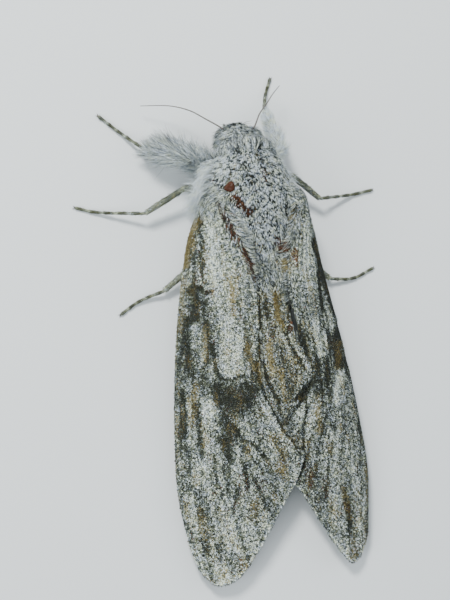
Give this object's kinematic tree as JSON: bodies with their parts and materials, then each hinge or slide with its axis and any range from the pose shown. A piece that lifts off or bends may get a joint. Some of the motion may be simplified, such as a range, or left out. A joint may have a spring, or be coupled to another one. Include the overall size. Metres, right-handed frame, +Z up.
{
  "type": "giant wood moth",
  "caption": "Life-size model of a large grey wood moth at rest, long wings folded roof-wise over a furry body, legs spread to stand on a flat surface.",
  "frame": {"origin": "on the floor, at the middle of the moth seen from above", "axes": "+Y to the head, +X to the moth's right, +Z up from the floor"},
  "size_m": [0.0711, 0.1114, 0.0201],
  "materials": {
    "fur": "dense grey hair with paler and darker tips",
    "forewing": "matt scales, grey and white speckle with dark streaks between raised veins",
    "hindwing": "matt grey-brown scales, paler pleat lines",
    "abdomen": "short flat grey-brown fur in rings",
    "leg": "matt, grey fur above and black and white bands on the feet",
    "antenna": "fine satin thread",
    "eye": "dark brown, glossy, finely faceted"
  },
  "bodies": {
    "root": {"thorax": "fur", "head": "fur", "palp_left": "fur", "palp_right": "fur", "eye_left": "eye", "eye_right": "eye", "antenna_left": "antenna", "antenna_right": "antenna", "forewing_left": "forewing", "forewing_right": "forewing", "hindwing_left": "hindwing", "hindwing_right": "hindwing", "abdomen": "abdomen", "leg_fore_left": "leg", "leg_fore_right": "leg", "leg_mid_left": "leg", "leg_mid_right": "leg", "leg_hind_left": "leg", "leg_hind_right": "leg"}
  },
  "joints": []
}
